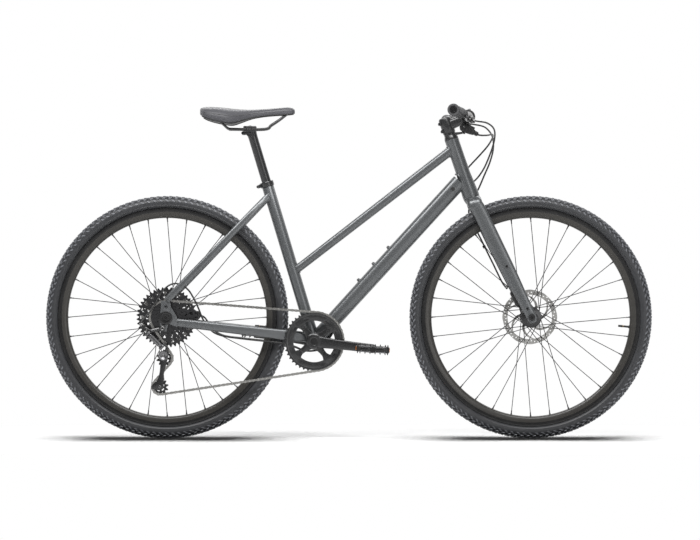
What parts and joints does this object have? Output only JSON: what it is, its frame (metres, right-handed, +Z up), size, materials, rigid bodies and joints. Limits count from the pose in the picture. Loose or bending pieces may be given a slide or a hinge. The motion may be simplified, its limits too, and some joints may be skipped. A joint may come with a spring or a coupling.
{
  "type": "step-through bicycle",
  "caption": "Step-through fitness bicycle with a low sloping top tube, rigid fork, disc brakes, a single chainring, a wide-range cassette and rear derailleur.",
  "frame": {"origin": "on the ground, halfway between the two axles, in the bicycle's middle plane", "axes": "+X forward, +Y to the rider's left, +Z up"},
  "size_m": [1.762, 0.6426, 0.9635],
  "materials": {
    "frame_paint": "satin grey paint",
    "black_paint": "satin black",
    "black_alloy": "black anodised",
    "grey_alloy": "dark grey anodised",
    "steel": "bright",
    "dark_steel": "dark plated",
    "tyre": "matt black",
    "rubber": "matt black",
    "plastic": "matt black",
    "saddle_cover": "matt dark grey synthetic cover"
  },
  "bodies": {
    "frame": {"head_tube": "frame_paint", "down_tube": "frame_paint", "top_tube": "frame_paint", "seat_tube": "frame_paint", "bottom_bracket_shell": "frame_paint", "bottom_bracket": "black_alloy", "chainstay_right": "frame_paint", "chainstay_left": "frame_paint", "seatstay_right": "frame_paint", "seatstay_left": "frame_paint", "dropout_right": "frame_paint", "dropout_left": "frame_paint", "seat_collar": "black_paint", "rear_axle": "black_alloy", "rear_calliper": "black_alloy", "chain": "steel", "rear_brake_hose": "rubber", "shift_housing": "rubber", "derailleur_knuckle_upper": "black_alloy"},
    "steering": {"fork_crown": "frame_paint", "fork_leg_right": "frame_paint", "fork_leg_left": "frame_paint", "front_axle": "black_alloy", "headset_cover": "black_paint", "stem": "black_paint", "stem_faceplate": "black_paint", "handlebar": "black_paint", "grip_right": "rubber", "grip_left": "rubber", "brake_perch_right": "black_paint", "brake_perch_left": "black_paint", "shifter": "plastic", "front_calliper": "black_alloy", "front_brake_hose": "rubber"},
    "front_wheel": {"front_tyre": "tyre", "front_rim": "black_paint", "front_hub": "black_alloy", "front_rotor": "steel"},
    "rear_wheel": {"rear_tyre": "tyre", "rear_rim": "black_paint", "rear_hub": "black_alloy", "rear_rotor": "steel"},
    "cassette_body": {"cassette": "dark_steel"},
    "crankset": {"crank_arm_right": "black_alloy", "crank_arm_left": "black_alloy", "chainring": "black_alloy", "chain_guard": "black_paint"},
    "right_pedal": {"pedal_right": "plastic"},
    "left_pedal": {"pedal_left": "plastic"},
    "seat": {"seatpost": "black_paint", "saddle": "saddle_cover", "saddle_rails": "steel"},
    "right_brake_lever": {"brake_lever_right": "black_alloy"},
    "left_brake_lever": {"brake_lever_left": "black_alloy"},
    "shift_paddle": {"shift_lever": "plastic"},
    "mech_link": {"derailleur_link": "grey_alloy"},
    "mech_knuckle": {"derailleur_knuckle_lower": "black_alloy"},
    "mech_cage": {"derailleur_cage": "black_alloy"},
    "guide_wheel": {"guide_pulley": "plastic"},
    "tension_wheel": {"tension_pulley": "plastic"}
  },
  "joints": [
    {"name": "steer", "type": "hinge", "parent": "frame", "child": "steering", "pos_m": [0.4807, 0, 0.3368], "axis": [-0.3239, 0, 0.9461], "range_deg": [-65, 65], "deforming": ["rear_brake_hose", "shift_housing"]},
    {"name": "front_wheel_spin", "type": "hinge", "parent": "steering", "child": "front_wheel", "pos_m": [0.528, 0, 0.353], "axis": [0, 1, 0], "continuous": true},
    {"name": "rear_wheel_spin", "type": "hinge", "parent": "frame", "child": "rear_wheel", "pos_m": [-0.528, 0, 0.353], "axis": [0, 1, 0], "continuous": true},
    {"name": "crank_spin", "type": "hinge", "parent": "frame", "child": "crankset", "pos_m": [-0.10065, 0, 0.2833], "axis": [0, 1, 0], "continuous": true, "deforming": ["chain"]},
    {"name": "cassette_spin", "type": "hinge", "parent": "frame", "child": "cassette_body", "pos_m": [-0.528, 0, 0.353], "axis": [0, 1, 0], "continuous": true},
    {"name": "pedal_spin_right", "type": "hinge", "parent": "crankset", "child": "right_pedal", "pos_m": [0.06816, -0.126, 0.26317], "axis": [0, 1, 0], "continuous": true},
    {"name": "pedal_spin_left", "type": "hinge", "parent": "crankset", "child": "left_pedal", "pos_m": [-0.26945, 0.126, 0.30343], "axis": [0, 1, 0], "continuous": true},
    {"name": "seatpost_height", "type": "slide", "parent": "frame", "child": "seat", "axis": [-0.2882, 0, 0.9576], "range_m": [-0.11, 0.08]},
    {"name": "brake_pull_right", "type": "hinge", "parent": "steering", "child": "right_brake_lever", "pos_m": [0.34954, -0.20159, 0.9166], "axis": [-0.5134, 0.0786, -0.8545], "range_deg": [0, 20], "stiffness_Nm_per_rad": 2},
    {"name": "brake_pull_left", "type": "hinge", "parent": "steering", "child": "left_brake_lever", "pos_m": [0.34954, 0.20159, 0.9166], "axis": [0.5134, 0.0786, 0.8545], "range_deg": [0, 20], "stiffness_Nm_per_rad": 2},
    {"name": "shift_push", "type": "hinge", "parent": "steering", "child": "shift_paddle", "pos_m": [0.32828, -0.15, 0.88458], "axis": [-0.4695, 0, -0.8829], "range_deg": [0, 25], "stiffness_Nm_per_rad": 0.5},
    {"name": "derailleur_swing", "type": "hinge", "parent": "frame", "child": "mech_link", "pos_m": [-0.579, -0.081, 0.307], "axis": [0.7193, 0, 0.6947], "range_deg": [-22, 13], "stiffness_Nm_per_rad": 1, "deforming": ["chain", "shift_housing"]},
    {"name": "knuckle_parallel", "type": "hinge", "parent": "mech_link", "child": "mech_knuckle", "pos_m": [-0.5407, -0.063, 0.268], "axis": [0.7193, 0, 0.6947], "range_deg": [-13, 22], "deforming": ["chain"]},
    {"name": "cage_pivot", "type": "hinge", "parent": "mech_knuckle", "child": "mech_cage", "pos_m": [-0.5357, -0.055, 0.242], "axis": [0, 1, 0], "range_deg": [-35, 20], "stiffness_Nm_per_rad": 0.8, "deforming": ["chain"]},
    {"name": "guide_pulley_spin", "type": "hinge", "parent": "mech_cage", "child": "guide_wheel", "pos_m": [-0.5327, -0.042, 0.235], "axis": [0, 1, 0], "continuous": true},
    {"name": "tension_pulley_spin", "type": "hinge", "parent": "mech_cage", "child": "tension_wheel", "pos_m": [-0.54683, -0.042, 0.1522], "axis": [0, 1, 0], "continuous": true}
  ],
  "couplings": [
    {"joint": "cassette_spin", "follows": "crank_spin", "ratio": 1.75},
    {"joint": "guide_pulley_spin", "follows": "crank_spin", "ratio": -3.8182},
    {"joint": "tension_pulley_spin", "follows": "crank_spin", "ratio": 3.8182},
    {"joint": "knuckle_parallel", "follows": "derailleur_swing", "ratio": -1}
  ]
}
